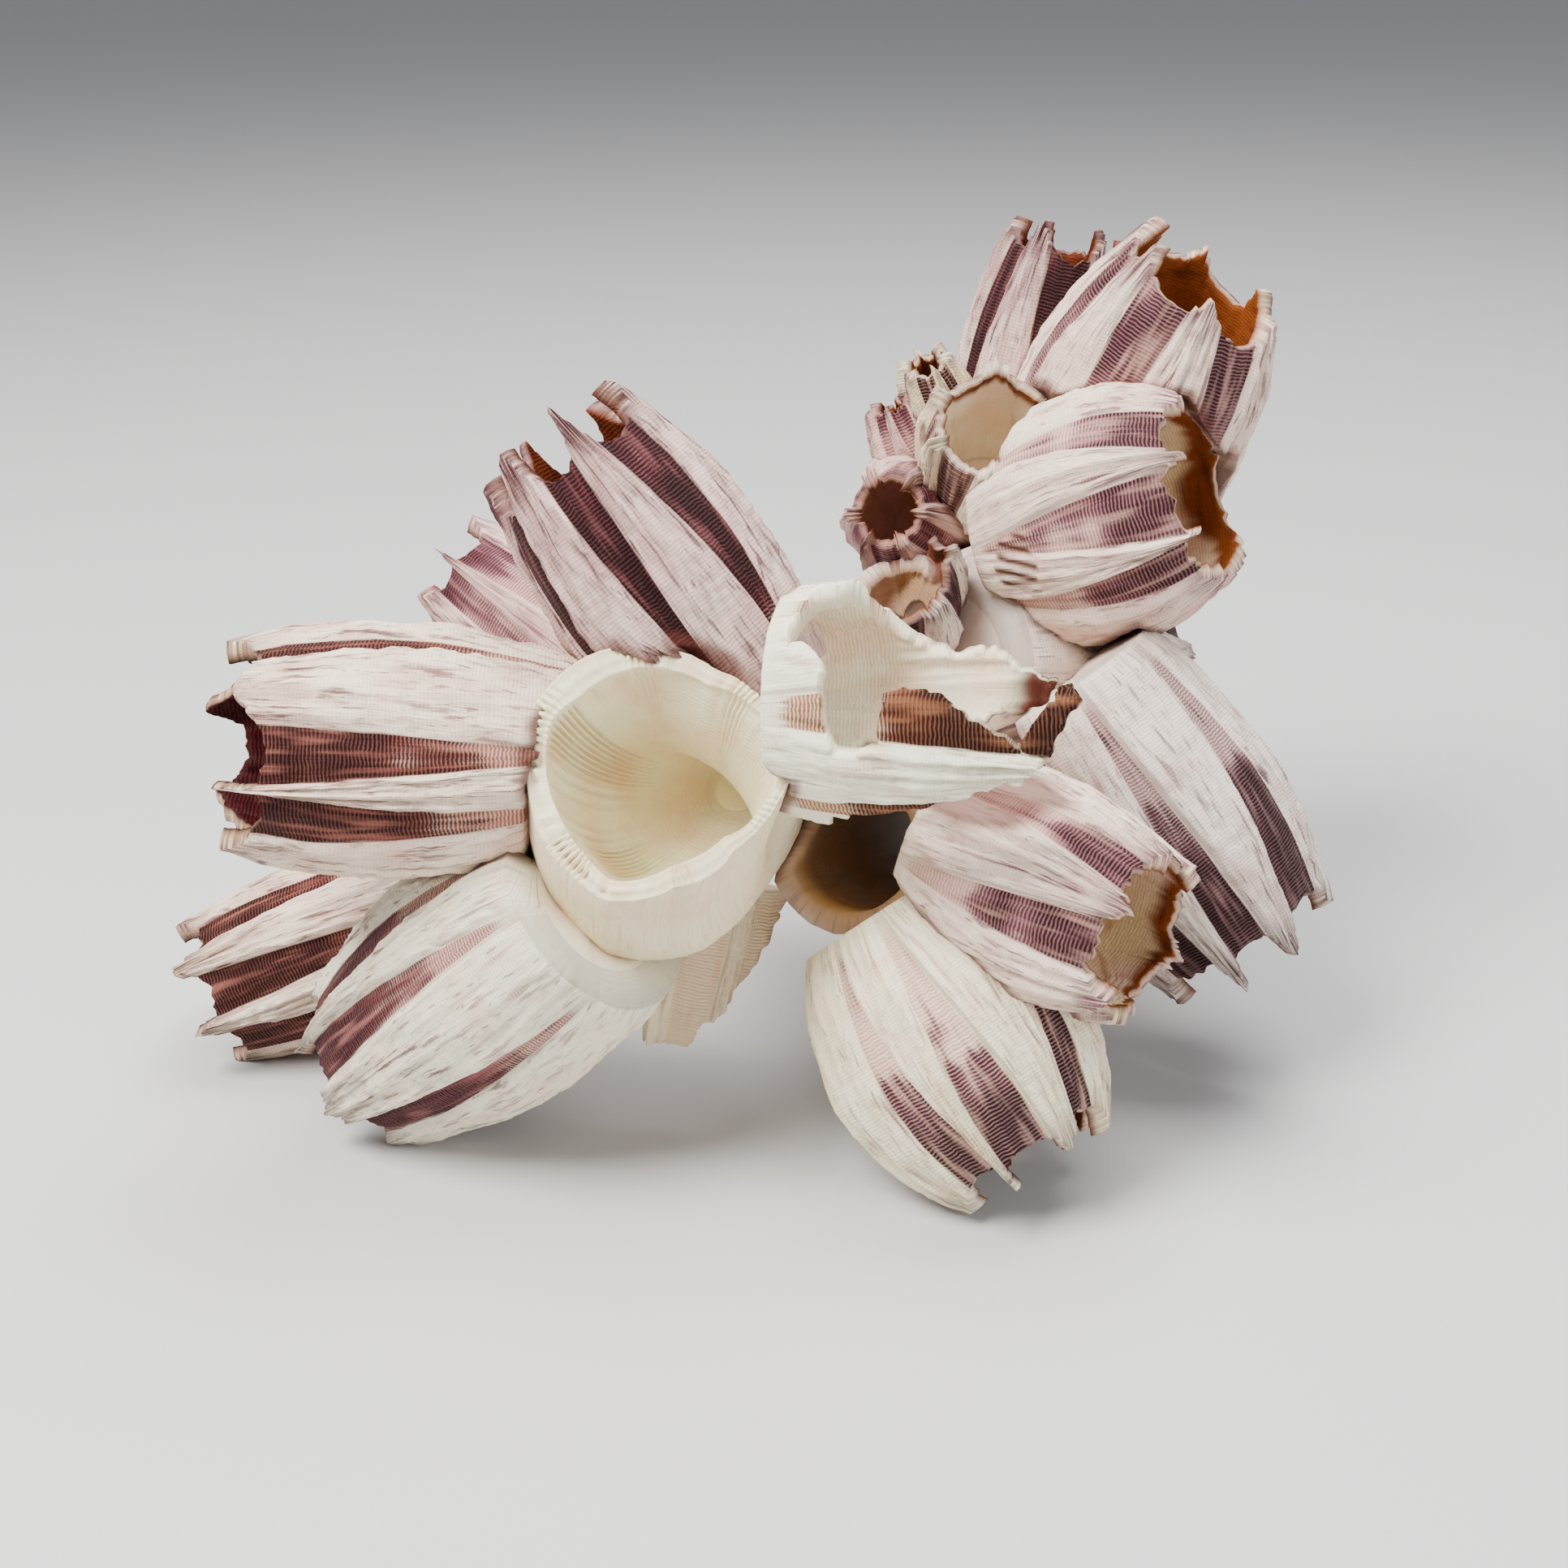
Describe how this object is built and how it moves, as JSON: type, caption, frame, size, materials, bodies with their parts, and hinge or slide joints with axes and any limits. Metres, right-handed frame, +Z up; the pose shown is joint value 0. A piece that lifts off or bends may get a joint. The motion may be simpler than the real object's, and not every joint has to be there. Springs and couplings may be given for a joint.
{
  "type": "barnacle cluster",
  "caption": "Cluster of empty giant acorn barnacle shells grown on one another, purple-striped outside and cream inside, lying on a flat surface.",
  "frame": {"origin": "middle of the box around the cluster, on the surface it rests on", "axes": "+X to the right in the picture, along the cluster's length; +Y away from the camera; +Z up"},
  "size_m": [0.1398, 0.0946, 0.0978],
  "materials": {
    "cream_shell": "matte",
    "pink_shell": "matte",
    "purple_shell": "matte"
  },
  "bodies": {
    "root": {"barnacle_front_cup": "cream_shell", "barnacle_rear_lower": "purple_shell", "barnacle_left_upper": "pink_shell", "barnacle_left_lower": "pink_shell", "barnacle_top_front": "pink_shell", "barnacle_broken": "cream_shell", "barnacle_bottom_front": "cream_shell", "barnacle_right_front": "cream_shell", "barnacle_bridge": "pink_shell", "barnacle_right_back": "pink_shell", "barnacle_crown_cup": "cream_shell", "barnacle_crown_round": "pink_shell", "barnacle_crown_large": "pink_shell", "barnacle_crown_rear": "purple_shell", "barnacle_crown_small": "purple_shell", "barnacle_crown_bud": "purple_shell", "barnacle_crown_knob": "cream_shell", "barnacle_crown_low": "pink_shell", "barnacle_hanging_wall": "cream_shell", "barnacle_left_back": "pink_shell", "barnacle_top_back": "pink_shell"}
  },
  "joints": []
}
